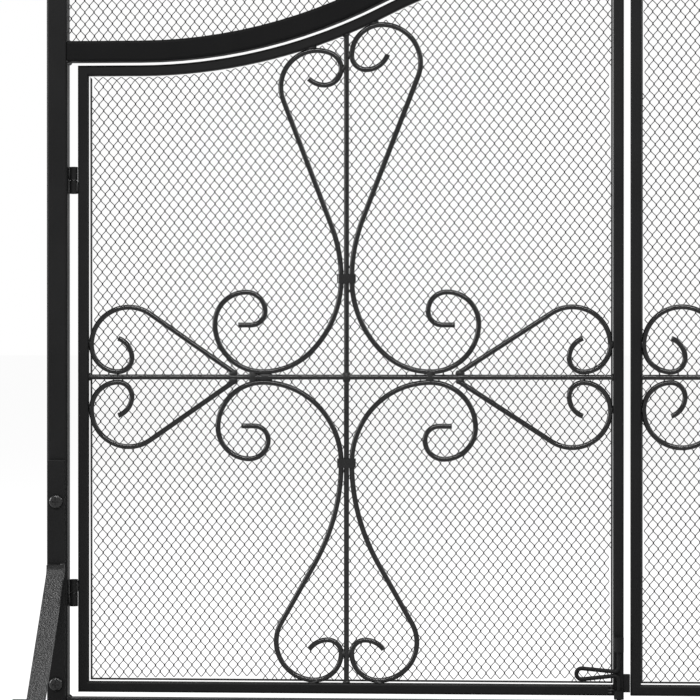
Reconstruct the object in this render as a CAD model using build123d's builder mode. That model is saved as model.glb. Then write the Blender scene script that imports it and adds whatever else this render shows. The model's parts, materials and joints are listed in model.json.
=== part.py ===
"""Two-door fireplace screen of square tube, expanded mesh and bent scroll rods.

Millimetres, +Z up, the front of the screen faces -Y. The origin lies on the floor,
in the middle of the rectangle that the screen and its feet cover.
"""

import os
from math import asin, atan, atan2, cos, degrees, hypot, radians, sin, sqrt, tan

from build123d import *

os.makedirs("parts", exist_ok=True)

# Outer frame
WIDTH = 1118.0
HEIGHT = 838.0
FRAME_TUBE = 20.0
FRAME_WALL = 1.2
FRAME_CORNER = 3.0

# Arch rail: level shoulders, then an S-shaped rise to a crest in the middle
ARCH_SHOULDER = 70.0
ARCH_RISE = 111.5
CREST_DROP = 47.4
ARCH_GAP = 3.0

# Doors
DOOR_TUBE = 10.0
DOOR_WALL = 1.0
DOOR_CORNER = 2.0
DOOR_SETBACK = 4.0
DOOR_SILL_GAP = 5.2
HINGE_GAP = 9.0
MEETING_GAP = 6.6

# Hinges: a pin through two knuckles, one on the post and one on the door
KNUCKLE_SIDE_AIR = 0.4
KNUCKLE_HEIGHT = 12.8
KNUCKLE_AIR = 0.4
PIN_DIA = 5.0
PIN_INSET = 1.0
PIN_SEAT = 0.02
PIN_RUNNING = 0.05
HINGE_SETBACK = 2.0
UPPER_HINGE_Z = 525.0
LOWER_HINGE_Z = 125.2

# Ornament rods
ROD_DIA = 5.0
WELD_AIR = 0.1
UPRIGHT_SHIFT = 3.0
CROSS_HEIGHT = 295.3
UPPER_COLLAR = 95.0
LOWER_COLLAR = 83.0
COLLAR_HEIGHT = 9.0
COLLAR_WALL = 1.2
COLLAR_AIR = 0.3
HOOK_LANDING = 81.0
UPPER_HOOK_RADIUS = 46.5
LOWER_HOOK_RADIUS = 43.5
HOOK_BACK = 30.5
HOOK_CURL = 18.3
HOOK_TIP = 13.5
HOOK_END = 12.5
UPPER_WAIST = 0.5
LOWER_WAIST = 0.85
HINGE_LOBE_RADIUS = 35.0
HINGE_LOBE_OFFSET = 28.5
HINGE_LOBE_CURL = 16.0
MEETING_LOBE_RADIUS = 37.0
MEETING_LOBE_OFFSET = 34.5
MEETING_LOBE_CURL = 14.0
LOW_LOBE_RADIUS = 37.0
LOW_LOBE_OFFSET = 31.0
LOW_LOBE_CURL = 13.0
LOBE_TIP = 22.0
LEAF_START = 110.0
LEAF_RADIUS = 36.5
LEAF_RETURN = 26.0
LEAF_CURL = 13.5
LEAF_TIP = 20.0

# Mesh, drawn as a coarse diamond net in a flat border
MESH_THICK = 1.0
MESH_COLLAR_AIR = 0.2
MESH_AIR = 1.0
MESH_BORDER = 1.8
MESH_STRAND = 3.0
DIAMOND_WIDTH = 46.0
DIAMOND_HEIGHT = 61.0
UPPER_MESH_SETBACK = 6.0

# Feet
FOOT_FRONT = 207.0
FOOT_REAR = 123.0
FOOT_WIDTH = 17.0
BASE_THICK = 4.0
TOE_HEIGHT = 51.0
TOE_BEND = 12.0
TOE_CORNER = 3.0
PLATE_THICK = 4.0
PLATE_TOP = 254.5
BRACE_THICK = 6.0
BRACE_TOP = 154.0
BRACE_TAB = 9.5
BRACE_BEND = 14.0
BRACE_ANGLE = 45.0
FOOT_EDGE = 0.8

# Foot screws and the nuts inside the posts
SCREW_DIA = 6.0
SCREW_LENGTH = 13.0
SCREW_HEAD_DIA = 13.0
SCREW_HEAD_HEIGHT = 3.6
SCREW_HOLE_DIA = 6.6
RECESS_LENGTH = 6.4
RECESS_WIDTH = 1.5
RECESS_DEPTH = 1.8
NUT_WIDTH = 10.0
NUT_HEIGHT = 5.0
THREAD_AIR = 0.03
UPPER_SCREW_Z = 214.6
LOWER_SCREW_Z = 38.5

# Drop bolt on the left door: one bent rod in two guides
BOLT_DIA = 4.0
BOLT_RUNNING = 0.06
BOLT_REST_AIR = 0.8
BOLT_HOLE_DIA = 5.0
BOLT_THROW = 9.5
BOLT_STOP_AIR = 0.4
GUIDE_DIA = 9.5
GUIDE_HEIGHT = 14.0
UPPER_GUIDE_TOP = 86.0
LOWER_GUIDE_HEIGHT = 8.0
LOWER_GUIDE_DROP = 2.5
BOLT_TOP_INSET = 2.0
HANDLE_BEND = 4.5
HANDLE_BULB = 5.2
HANDLE_UPPER_LEG = 30.0
HANDLE_UPPER_TILT = 5.5
HANDLE_LOWER_TILT = 6.5
HANDLE_DROP_BEND = 4.5

# Stop block between the doors, fixed to the left one
STOP_AIR = 0.6
STOP_HEIGHT = 17.0
STOP_DEPTH = 7.0
STOP_RAISE = 3.2

# Places that follow from the sizes above
SCREEN_Y = (FOOT_FRONT - FOOT_REAR) / 2
DOOR_Y = SCREEN_Y + DOOR_SETBACK
FRAME_FRONT = SCREEN_Y - FRAME_TUBE / 2
OUTER_X = WIDTH / 2
INNER_X = OUTER_X - FRAME_TUBE
POST_X = OUTER_X - FRAME_TUBE / 2
RAIL_TOP = BASE_THICK + FRAME_TUBE
CREST_Z = HEIGHT - 2 * FRAME_TUBE - CREST_DROP - ARCH_GAP
SHOULDER_Z = CREST_Z - ARCH_RISE
DOOR_BOTTOM = RAIL_TOP + DOOR_SILL_GAP
DOOR_LEFT = -(INNER_X - HINGE_GAP)
DOOR_RIGHT = -MEETING_GAP / 2
SILL_Z = DOOR_BOTTOM + DOOR_TUBE
OPEN_LEFT = DOOR_LEFT + DOOR_TUBE
OPEN_RIGHT = DOOR_RIGHT - DOOR_TUBE
UPRIGHT_X = (OPEN_LEFT + OPEN_RIGHT) / 2 - UPRIGHT_SHIFT
CROSS_Z = SILL_Z + CROSS_HEIGHT
AXIS_X = INNER_X - HINGE_GAP / 2
AXIS_Y = SCREEN_Y + HINGE_SETBACK
ROD_STEP = ROD_DIA + WELD_AIR
KNUCKLE_DIA = HINGE_GAP - 2 * KNUCKLE_SIDE_AIR
COLLAR_BACK = ROD_DIA / 2 + COLLAR_AIR + COLLAR_WALL
MESH_SETBACK = COLLAR_BACK + MESH_COLLAR_AIR
PLATE_FRONT = FRAME_FRONT - PLATE_THICK

# The rise is two equal arcs, the first curving up and the second levelling out
ARCH_SPAN = INNER_X - ARCH_SHOULDER
ARCH_TURN = 2 * atan(ARCH_RISE / ARCH_SPAN)
ARCH_RADIUS = ARCH_SPAN / 2 / sin(ARCH_TURN)

screen_plane = Plane.XZ.offset(-SCREEN_Y)
door_plane = Plane.XZ.offset(-DOOR_Y)


def arch_run(above, start_x, end_x):
    """Draw the arch line from left to right, at a distance above the doors' top edge."""
    shoulder = Line((start_x, SHOULDER_Z + above), (-ARCH_SPAN, SHOULDER_Z + above))
    rising = JernArc(shoulder @ 1, shoulder % 1, ARCH_RADIUS - above, degrees(ARCH_TURN))
    crest_radius = ARCH_RADIUS + above
    crest_turn = ARCH_TURN - asin(-end_x / crest_radius)
    return JernArc(rising @ 1, rising % 1, crest_radius, -degrees(crest_turn))


def below_arch(x, drop):
    """Height of the point at x that lies a distance below the rising arc of the doors' top."""
    return SHOULDER_Z + ARCH_RADIUS - sqrt((ARCH_RADIUS + drop) ** 2 - (x + ARCH_SPAN) ** 2)


def tube_section(size, wall, corner):
    """Draw a rounded square tube in the open sketch."""
    RectangleRounded(size, size, corner)
    inside = size - 2 * wall
    RectangleRounded(inside, inside, max(corner - wall, wall / 4), mode=Mode.SUBTRACT)


def tangent_run(start, heading, steps):
    """Draw straights (length,) and arcs (radius, turn), each tangent to the one before."""
    point = start
    for step in steps:
        if len(step) == 1:
            edge = Line(point, point + heading * step[0])
        else:
            edge = JernArc(point, heading, *step)
        point = edge @ 1
        heading = edge % 1


def bent_rod(start, heading, steps, diameter):
    """Sweep a round rod along a tangent run in the door's plane and return it."""
    with BuildPart() as rod:
        with BuildLine(door_plane) as path:
            tangent_run(door_plane.from_local_coords(start), Vector(heading[0], 0, heading[1]), steps)
        with BuildSketch(Plane(origin=path.line @ 0, z_dir=path.line % 0)):
            Circle(diameter / 2)
        sweep()
    return rod.part


def write(piece, label):
    """Name a finished piece and write it."""
    piece.label = label
    export_step(piece, f"parts/{label}.step")


def write_pair(piece, label):
    """Write a left-hand piece, and its mirror image on the right."""
    with BuildPart() as twin:
        mirror(piece, about=Plane.YZ)
    write(piece, label.format(side="left"))
    write(twin.part, label.format(side="right"))


# Posts, with a mitre at the top and holes for the foot screws in the front wall
with BuildPart() as post:
    with BuildSketch(Plane.XY.offset(BASE_THICK)):
        with Locations((-POST_X, SCREEN_Y)):
            tube_section(FRAME_TUBE, FRAME_WALL, FRAME_CORNER)
    extrude(amount=HEIGHT - BASE_THICK)
    with BuildSketch(screen_plane):
        Polygon(
            (-OUTER_X, BASE_THICK),
            (-INNER_X, BASE_THICK),
            (-INNER_X, HEIGHT - FRAME_TUBE),
            (-OUTER_X, HEIGHT),
            align=None,
        )
    extrude(amount=FRAME_TUBE, both=True, mode=Mode.INTERSECT)
    with Locations(Plane.XZ.offset(-FRAME_FRONT)):
        with Locations((-POST_X, UPPER_SCREW_Z), (-POST_X, LOWER_SCREW_Z)):
            Hole(SCREW_HOLE_DIA / 2, depth=FRAME_TUBE / 2)
write_pair(post.part, "{side}_post")

with BuildPart() as top_rail:
    with BuildSketch(Plane.YZ.offset(-OUTER_X)):
        with Locations((SCREEN_Y, HEIGHT - FRAME_TUBE / 2)):
            tube_section(FRAME_TUBE, FRAME_WALL, FRAME_CORNER)
    extrude(amount=WIDTH)
    with BuildSketch(screen_plane):
        Polygon(
            (-OUTER_X, HEIGHT),
            (OUTER_X, HEIGHT),
            (INNER_X, HEIGHT - FRAME_TUBE),
            (-INNER_X, HEIGHT - FRAME_TUBE),
            align=None,
        )
    extrude(amount=FRAME_TUBE, both=True, mode=Mode.INTERSECT)
write(top_rail.part, "top_rail")

# Bottom rail, with the hole that the drop bolt falls into
BOLT_X = DOOR_RIGHT - DOOR_TUBE / 2
BOLT_Y = DOOR_Y - DOOR_TUBE / 2 - GUIDE_DIA / 2
with BuildPart() as bottom_rail:
    with BuildSketch(Plane.YZ.offset(-INNER_X)):
        with Locations((SCREEN_Y, RAIL_TOP - FRAME_TUBE / 2)):
            tube_section(FRAME_TUBE, FRAME_WALL, FRAME_CORNER)
    extrude(amount=2 * INNER_X)
    with Locations((BOLT_X, BOLT_Y, RAIL_TOP)):
        Hole(BOLT_HOLE_DIA / 2, depth=FRAME_TUBE / 2)
write(bottom_rail.part, "bottom_rail")

with BuildPart() as arch_rail:
    with BuildLine(screen_plane) as arch_path:
        arch_run(ARCH_GAP + FRAME_TUBE / 2, -INNER_X, 0)
    with BuildSketch(Plane(origin=arch_path.line @ 0, z_dir=arch_path.line % 0)):
        tube_section(FRAME_TUBE, FRAME_WALL, FRAME_CORNER)
    sweep()
    mirror(about=Plane.YZ)
write(arch_rail.part, "arch_rail")


# Mesh panels
def door_outline(margin):
    """Return the door's opening as a flat shape, drawn in by a margin."""
    with BuildSketch() as outline:
        with BuildLine():
            crest = arch_run(-DOOR_TUBE - margin, OPEN_LEFT + margin, OPEN_RIGHT - margin)
            Polyline(
                crest @ 1,
                (OPEN_RIGHT - margin, SILL_Z + margin),
                (OPEN_LEFT + margin, SILL_Z + margin),
                (OPEN_LEFT + margin, SHOULDER_Z - DOOR_TUBE - margin),
            )
        make_face()
    return outline.sketch


def upper_outline(margin):
    """Return the space between arch rail and top rail as a flat shape, drawn in by a margin."""
    ceiling = HEIGHT - FRAME_TUBE - margin
    above = ARCH_GAP + FRAME_TUBE + margin
    with BuildSketch() as outline:
        with BuildLine():
            crest = arch_run(above, -INNER_X + margin, 0)
            Polyline(
                crest @ 1,
                (0, ceiling),
                (-INNER_X + margin, ceiling),
                (-INNER_X + margin, SHOULDER_Z + above),
            )
        make_face()
        mirror(about=Plane.YZ)
    return outline.sketch


def diamond_net(plane, outline, middle):
    """Return a flat net of diamonds, clipped to a border along the outline."""
    columns = int(WIDTH / DIAMOND_WIDTH)
    rows = int(HEIGHT / DIAMOND_HEIGHT)
    half_width = (DIAMOND_WIDTH - MESH_STRAND) / 2
    half_height = (DIAMOND_HEIGHT - MESH_STRAND * DIAMOND_HEIGHT / DIAMOND_WIDTH) / 2
    with BuildSketch() as diamonds:
        for stagger in (0, 0.5):
            centre = (middle[0] + stagger * DIAMOND_WIDTH, middle[1] + stagger * DIAMOND_HEIGHT)
            with Locations(centre):
                with GridLocations(DIAMOND_WIDTH, DIAMOND_HEIGHT, columns, rows):
                    Polygon((-half_width, 0), (0, -half_height), (half_width, 0), (0, half_height))
    gaps = outline(MESH_AIR + MESH_BORDER) & diamonds.sketch
    with BuildPart() as net:
        with BuildSketch(plane):
            add(outline(MESH_AIR))
            add(gaps, mode=Mode.SUBTRACT)
        extrude(amount=-MESH_THICK)
    return net.part


door_middle = ((OPEN_LEFT + OPEN_RIGHT) / 2, (SILL_Z + CREST_Z) / 2)
door_net = diamond_net(door_plane.offset(-MESH_SETBACK), door_outline, door_middle)
write_pair(door_net, "{side}_door_mesh")
upper_net = diamond_net(screen_plane.offset(-UPPER_MESH_SETBACK), upper_outline, (0, CREST_Z))
write(upper_net, "upper_mesh")


# Door frames: four mitred tubes each
def door_member(start, direction, length, kept):
    """Return a straight door tube, cut to the outline that its mitres leave."""
    with BuildPart() as member:
        with BuildSketch(Plane(origin=(start[0], DOOR_Y, start[1]), z_dir=direction)):
            tube_section(DOOR_TUBE, DOOR_WALL, DOOR_CORNER)
        extrude(amount=length)
        with BuildSketch(door_plane):
            Polygon(*kept, align=None)
        extrude(amount=DOOR_TUBE, both=True, mode=Mode.INTERSECT)
    return member.part


half_tube = DOOR_TUBE / 2
hinge_stile = door_member(
    (DOOR_LEFT + half_tube, DOOR_BOTTOM),
    (0, 0, 1),
    SHOULDER_Z - DOOR_BOTTOM,
    [
        (DOOR_LEFT, DOOR_BOTTOM),
        (OPEN_LEFT, SILL_Z),
        (OPEN_LEFT, SHOULDER_Z - DOOR_TUBE),
        (DOOR_LEFT, SHOULDER_Z),
    ],
)
write_pair(hinge_stile, "{side}_door_hinge_stile")

meeting_stile = door_member(
    (DOOR_RIGHT - half_tube, DOOR_BOTTOM),
    (0, 0, 1),
    CREST_Z - DOOR_BOTTOM,
    [
        (DOOR_RIGHT, DOOR_BOTTOM),
        (DOOR_RIGHT, CREST_Z),
        (OPEN_RIGHT, CREST_Z - DOOR_TUBE),
        (OPEN_RIGHT, SILL_Z),
    ],
)
write_pair(meeting_stile, "{side}_door_meeting_stile")

sill = door_member(
    (DOOR_LEFT, DOOR_BOTTOM + half_tube),
    (1, 0, 0),
    DOOR_RIGHT - DOOR_LEFT,
    [
        (DOOR_LEFT, DOOR_BOTTOM),
        (DOOR_RIGHT, DOOR_BOTTOM),
        (OPEN_RIGHT, SILL_Z),
        (OPEN_LEFT, SILL_Z),
    ],
)
write_pair(sill, "{side}_door_bottom_rail")

with BuildPart() as door_top:
    with BuildLine(door_plane) as door_top_path:
        arch_run(-half_tube, DOOR_LEFT, DOOR_RIGHT)
    with BuildSketch(Plane(origin=door_top_path.line @ 0, z_dir=door_top_path.line % 0)):
        tube_section(DOOR_TUBE, DOOR_WALL, DOOR_CORNER)
    sweep()
    with BuildSketch(door_plane):
        Polygon(
            (DOOR_LEFT, HEIGHT),
            (DOOR_LEFT, SHOULDER_Z),
            (OPEN_LEFT, SHOULDER_Z - DOOR_TUBE),
            (OPEN_LEFT, CROSS_Z),
            (OPEN_RIGHT, CROSS_Z),
            (OPEN_RIGHT, CREST_Z - DOOR_TUBE),
            (DOOR_RIGHT, CREST_Z),
            (DOOR_RIGHT, HEIGHT),
            align=None,
        )
    extrude(amount=DOOR_TUBE, both=True, mode=Mode.INTERSECT)
write_pair(door_top.part, "{side}_door_top_rail")

# Upright bar, from the bottom rail to the low side of the top rail's slope
upright_top = below_arch(UPRIGHT_X - ROD_DIA / 2, DOOR_TUBE + WELD_AIR)
with BuildPart() as upright:
    with BuildSketch(Plane.XY.offset(SILL_Z)):
        with Locations((UPRIGHT_X, DOOR_Y)):
            Circle(ROD_DIA / 2)
    extrude(amount=upright_top - SILL_Z)
write_pair(upright.part, "{side}_door_upright_bar")

# Cross bar, in two lengths that butt against the upright
with BuildPart() as cross_bar:
    for start_x, end_x in (
        (OPEN_LEFT, UPRIGHT_X - ROD_DIA / 2 - WELD_AIR),
        (UPRIGHT_X + ROD_DIA / 2 + WELD_AIR, OPEN_RIGHT),
    ):
        with BuildSketch(Plane.YZ.offset(start_x)):
            with Locations((DOOR_Y, CROSS_Z)):
                Circle(ROD_DIA / 2)
        extrude(amount=end_x - start_x)
write_pair(cross_bar.part, "{side}_door_cross_bar")


# Scrolls beside the upright: a hook that lands on the cross bar, and a tall lobe
def hook_steps(collar, radius, turn):
    """Two eighth circles from the collar to the cross bar, then a curl away from it."""
    down = collar - ROD_STEP
    across = HOOK_LANDING - ROD_STEP
    chord = sin(radians(45))
    rest = 1 - chord
    lower_radius = (across * chord - down * rest) / (chord**2 - rest**2)
    upper_radius = (down * chord - across * rest) / (chord**2 - rest**2)
    return [
        (upper_radius, 45 * turn),
        (lower_radius, 45 * turn),
        (radius, 90 * turn),
        (HOOK_BACK, 90 * turn),
        (HOOK_CURL, 90 * turn),
        (HOOK_TIP, 90 * turn),
        (HOOK_END,),
    ]


def lobe_steps(rise, waist, turn, reach, radius, curls, tip_turn):
    """Waist, tangent straight and lobe, then a curl that touches the upright.

    The waist is a share of the widest arc that still leaves a straight beside it.
    """
    curl, inner_curl = curls
    widest = (rise**2 / (radius + reach) - radius + reach) / 2
    waist_radius = waist * widest
    toward = waist_radius - reach
    apart = hypot(toward, rise)
    both = waist_radius + radius
    lean = asin(both / apart) - atan2(toward, rise)
    past_top = degrees(asin((reach - curl) / (radius - curl)))
    return [
        (waist_radius, -degrees(lean) * turn),
        (sqrt(apart**2 - both**2),),
        (radius, (degrees(lean) + 90 + past_top) * turn),
        (curl, (90 - past_top) * turn),
        (inner_curl, 90 * turn),
        (LOBE_TIP, tip_turn * turn),
    ]


def s_scroll(side, up, lobe_z, reach, lobe_radius, curls, tip_turn):
    """One rod from its hook's tip to its lobe's tip, as two runs from the collar."""
    collar = UPPER_COLLAR if up > 0 else LOWER_COLLAR
    radius = UPPER_HOOK_RADIUS if up > 0 else LOWER_HOOK_RADIUS
    waist = UPPER_WAIST if up > 0 else LOWER_WAIST
    turn = side * up
    start = (UPRIGHT_X + side * ROD_STEP, CROSS_Z + up * collar)
    rise = up * (lobe_z - start[1])
    with BuildPart() as scroll:
        add(bent_rod(start, (0, -up), hook_steps(collar, radius, turn), ROD_DIA))
        lobe = lobe_steps(rise, waist, turn, reach, lobe_radius, curls, tip_turn)
        add(bent_rod(start, (0, up), lobe, ROD_DIA))
    return scroll.part


under_rail = DOOR_TUBE + WELD_AIR + ROD_DIA / 2
hinge_reach = HINGE_LOBE_OFFSET - ROD_STEP
hinge_lobe_z = below_arch(UPRIGHT_X - HINGE_LOBE_OFFSET, under_rail + HINGE_LOBE_RADIUS)
hinge_curls = (HINGE_LOBE_CURL, HINGE_LOBE_CURL)
meeting_reach = MEETING_LOBE_OFFSET - ROD_STEP
meeting_top_z = below_arch(UPRIGHT_X + MEETING_LOBE_OFFSET, under_rail + meeting_reach)
meeting_lobe_z = meeting_top_z + meeting_reach - MEETING_LOBE_RADIUS
meeting_curls = (meeting_reach, MEETING_LOBE_CURL)
low_reach = LOW_LOBE_OFFSET - ROD_STEP
low_lobe_z = SILL_Z + WELD_AIR + ROD_DIA / 2 + LOW_LOBE_RADIUS
low_curls = (low_reach, LOW_LOBE_CURL)

with BuildPart() as upper_scrolls:
    add(s_scroll(-1, 1, hinge_lobe_z, hinge_reach, HINGE_LOBE_RADIUS, hinge_curls, 44))
    add(s_scroll(1, 1, meeting_lobe_z, meeting_reach, MEETING_LOBE_RADIUS, meeting_curls, 70))
write_pair(upper_scrolls.part, "{side}_door_upper_scrolls")

with BuildPart() as lower_scrolls:
    for side in (-1, 1):
        add(s_scroll(side, -1, low_lobe_z, low_reach, LOW_LOBE_RADIUS, low_curls, 54))
write_pair(lower_scrolls.part, "{side}_door_lower_scrolls")


# Leaf scrolls: a straight from the cross bar, a loop against the stile and a curl
def leaf_scroll(far, up, stile_x):
    """One leaf on the side that far names, above or below the cross bar."""
    start = (UPRIGHT_X + far * LEAF_START, CROSS_Z + up * ROD_STEP)
    loop_x = stile_x - far * (ROD_DIA / 2 + WELD_AIR + LEAF_RADIUS)
    run = abs(loop_x - start[0])
    apart = hypot(run, LEAF_RETURN)
    climb = atan2(LEAF_RETURN, run) + asin(LEAF_RADIUS / apart)
    turn = -far * up
    steps = [
        (sqrt(apart**2 - LEAF_RADIUS**2),),
        (LEAF_RADIUS, (degrees(climb) + 90) * turn),
        (LEAF_RETURN, 90 * turn),
        (LEAF_CURL, 90 * turn),
        (LEAF_TIP, 70 * turn),
    ]
    return bent_rod(start, (far * cos(climb), up * sin(climb)), steps, ROD_DIA)


for far, stile_x, label in (
    (-1, OPEN_LEFT, "{side}_door_hinge_leaf_scrolls"),
    (1, OPEN_RIGHT, "{side}_door_meeting_leaf_scrolls"),
):
    with BuildPart() as leaf_pair:
        for up in (1, -1):
            add(leaf_scroll(far, up, stile_x))
    write_pair(leaf_pair.part, label)

# Collars round the upright and the two scrolls beside it
with BuildPart() as collars:
    bound = ROD_DIA + 2 * COLLAR_AIR
    for collar_z in (CROSS_Z + UPPER_COLLAR, CROSS_Z - LOWER_COLLAR):
        with BuildSketch(Plane.XY.offset(collar_z - COLLAR_HEIGHT / 2)):
            with Locations((UPRIGHT_X, DOOR_Y)):
                SlotCenterToCenter(2 * ROD_STEP, bound + 2 * COLLAR_WALL)
                SlotCenterToCenter(2 * ROD_STEP, bound, mode=Mode.SUBTRACT)
        extrude(amount=COLLAR_HEIGHT)
write_pair(collars.part, "{side}_door_collars")


# Hinges
def knuckle(middle_z, air):
    """Return a hinge knuckle, bored with some air round the pin."""
    with BuildPart() as barrel:
        with BuildSketch(Plane.XY.offset(middle_z - KNUCKLE_HEIGHT / 2)):
            with Locations((-AXIS_X, AXIS_Y)):
                Circle(KNUCKLE_DIA / 2)
                Circle(PIN_DIA / 2 + air, mode=Mode.SUBTRACT)
        extrude(amount=KNUCKLE_HEIGHT)
    return barrel.part


knuckle_step = (KNUCKLE_HEIGHT + KNUCKLE_AIR) / 2
pin_length = 2 * KNUCKLE_HEIGHT + KNUCKLE_AIR - 2 * PIN_INSET
for level, hinge_z, post_above in (("upper", UPPER_HINGE_Z, 1), ("lower", LOWER_HINGE_Z, -1)):
    post_knuckle = knuckle(hinge_z + post_above * knuckle_step, PIN_SEAT)
    write_pair(post_knuckle, "{side}_" + level + "_post_knuckle")
    door_knuckle = knuckle(hinge_z - post_above * knuckle_step, PIN_RUNNING)
    write_pair(door_knuckle, "{side}_" + level + "_door_knuckle")
    with BuildPart() as pin:
        with BuildSketch(Plane.XY.offset(hinge_z - pin_length / 2)):
            with Locations((-AXIS_X, AXIS_Y)):
                Circle(PIN_DIA / 2)
        extrude(amount=pin_length)
    write_pair(pin.part, "{side}_" + level + "_hinge_pin")

# Foot base: a flat bar on the floor with a toe turned up at the front
side_plane = Plane.YZ.offset(-POST_X)
base_front = SCREEN_Y - FOOT_FRONT
base_rear = SCREEN_Y + FOOT_REAR
with BuildPart() as foot_base:
    with BuildSketch(side_plane):
        with BuildLine():
            FilletPolyline(
                (base_rear, 0),
                (base_front, 0),
                (base_front, TOE_HEIGHT),
                radius=TOE_BEND,
            )
            Line((base_front, TOE_HEIGHT), (base_front + BASE_THICK, TOE_HEIGHT))
            FilletPolyline(
                (base_front + BASE_THICK, TOE_HEIGHT),
                (base_front + BASE_THICK, BASE_THICK),
                (base_rear, BASE_THICK),
                radius=TOE_BEND - BASE_THICK,
            )
            Line((base_rear, BASE_THICK), (base_rear, 0))
        make_face()
    extrude(amount=FOOT_WIDTH / 2, both=True)
    toe_corners = foot_base.edges().filter_by(Axis.Y).group_by(Axis.Z)[-1]
    heel_corners = foot_base.edges().filter_by(Axis.Z).group_by(Axis.Y)[-1]
    fillet(toe_corners + heel_corners, TOE_CORNER)
write_pair(foot_base.part, "{side}_foot_base")

# Foot plate: a flat bar that the screws hold to the front of the post
with BuildPart() as foot_plate:
    with BuildSketch(Plane.XZ.offset(-FRAME_FRONT)):
        with Locations((-POST_X, (BASE_THICK + PLATE_TOP) / 2)):
            Rectangle(FOOT_WIDTH, PLATE_TOP - BASE_THICK)
    extrude(amount=PLATE_THICK)
    fillet(foot_plate.faces().sort_by(Axis.Y)[0].edges(), FOOT_EDGE)
    with Locations(Plane.XZ.offset(-PLATE_FRONT)):
        with Locations((-POST_X, UPPER_SCREW_Z), (-POST_X, LOWER_SCREW_Z)):
            Hole(SCREW_HOLE_DIA / 2)
write_pair(foot_plate.part, "{side}_foot_plate")

# Foot brace: a tab on the plate, then a straight leg down to the base
leg_tan = tan(radians(BRACE_ANGLE))
bend_shift = BRACE_THICK * tan(radians(BRACE_ANGLE / 2))
inner_bend_z = BRACE_TOP - BRACE_TAB
outer_bend_z = inner_bend_z + bend_shift
with BuildPart() as foot_brace:
    with BuildSketch(side_plane):
        Polygon(
            (PLATE_FRONT, BRACE_TOP),
            (PLATE_FRONT, inner_bend_z),
            (PLATE_FRONT - (inner_bend_z - BASE_THICK) * leg_tan, BASE_THICK),
            (PLATE_FRONT - BRACE_THICK - (outer_bend_z - BASE_THICK) * leg_tan, BASE_THICK),
            (PLATE_FRONT - BRACE_THICK, outer_bend_z),
            (PLATE_FRONT - BRACE_THICK, BRACE_TOP),
            align=None,
        )
    extrude(amount=FOOT_WIDTH / 2, both=True)
    bends = foot_brace.edges().filter_by(Axis.X).sort_by(Axis.Z)[2:4].sort_by(Axis.Y)
    fillet(bends[0], BRACE_BEND)
    fillet(bends[1], BRACE_BEND + BRACE_THICK)
    fillet(foot_brace.faces().filter_by(Axis.X).edges(), FOOT_EDGE)
write_pair(foot_brace.part, "{side}_foot_brace")

# Foot screws and the nuts behind the posts' front wall, each a group of four
screw_spots = [(x, z) for x in (-POST_X, POST_X) for z in (UPPER_SCREW_Z, LOWER_SCREW_Z)]
head_plane = Plane.XZ.offset(-PLATE_FRONT)
with BuildPart() as foot_screws:
    with BuildSketch(head_plane):
        with Locations(*screw_spots):
            Circle(SCREW_HEAD_DIA / 2)
    extrude(amount=SCREW_HEAD_HEIGHT)
    rims = foot_screws.edges().filter_by(GeomType.CIRCLE).group_by(Axis.Y)[0]
    fillet(rims, SCREW_HEAD_HEIGHT * 0.6)
    with BuildSketch(head_plane):
        with Locations(*screw_spots):
            Circle(SCREW_DIA / 2)
    extrude(amount=-SCREW_LENGTH)
    with BuildSketch(head_plane.offset(SCREW_HEAD_HEIGHT)):
        with Locations(*screw_spots):
            Rectangle(RECESS_LENGTH, RECESS_WIDTH)
            Rectangle(RECESS_WIDTH, RECESS_LENGTH)
    extrude(amount=-RECESS_DEPTH, mode=Mode.SUBTRACT)
write(foot_screws.part, "foot_screws")

with BuildPart() as post_nuts:
    with BuildSketch(Plane.XZ.offset(-FRAME_FRONT - FRAME_WALL)):
        with Locations(*screw_spots):
            RegularPolygon(NUT_WIDTH / 2, 6, major_radius=False)
            Circle(SCREW_DIA / 2 + THREAD_AIR, mode=Mode.SUBTRACT)
    extrude(amount=-NUT_HEIGHT)
write(post_nuts.part, "post_nuts")

# Bolt guides on the front of the left door's meeting stile
lower_guide_bottom = DOOR_BOTTOM - LOWER_GUIDE_DROP
for label, bottom, height in (
    ("upper_bolt_guide", UPPER_GUIDE_TOP - GUIDE_HEIGHT, GUIDE_HEIGHT),
    ("lower_bolt_guide", lower_guide_bottom, LOWER_GUIDE_HEIGHT),
):
    with BuildPart() as guide:
        with BuildSketch(Plane.XY.offset(bottom)):
            with Locations((BOLT_X, BOLT_Y)):
                Circle(GUIDE_DIA / 2)
                Circle(BOLT_DIA / 2 + BOLT_RUNNING, mode=Mode.SUBTRACT)
        extrude(amount=height)
    write(guide.part, label)

# Drop bolt: down from the upper guide, out and back in a hairpin, down to the tip
bolt_plane = Plane.XZ.offset(-BOLT_Y)
bolt_top = UPPER_GUIDE_TOP - BOLT_TOP_INSET
bolt_tip = RAIL_TOP + BOLT_REST_AIR
drop_top = lower_guide_bottom + LOWER_GUIDE_HEIGHT + BOLT_THROW + BOLT_STOP_AIR
up_tilt = radians(HANDLE_UPPER_TILT)
low_tilt = radians(HANDLE_LOWER_TILT)
bulb_turn = 180 + HANDLE_LOWER_TILT + HANDLE_UPPER_TILT
leg_out = HANDLE_BEND * (1 + sin(up_tilt)) + HANDLE_UPPER_LEG * cos(up_tilt)
leg_back = HANDLE_DROP_BEND * (1 + sin(low_tilt)) - HANDLE_BULB * (sin(up_tilt) - sin(low_tilt))
lower_leg = (leg_out - leg_back) / cos(low_tilt)
handle_rise = HANDLE_UPPER_LEG * sin(up_tilt) - HANDLE_BEND * cos(up_tilt)
handle_rise += lower_leg * sin(low_tilt) - HANDLE_BULB * (cos(up_tilt) + cos(low_tilt))
handle_rise -= HANDLE_DROP_BEND * cos(low_tilt)
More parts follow.
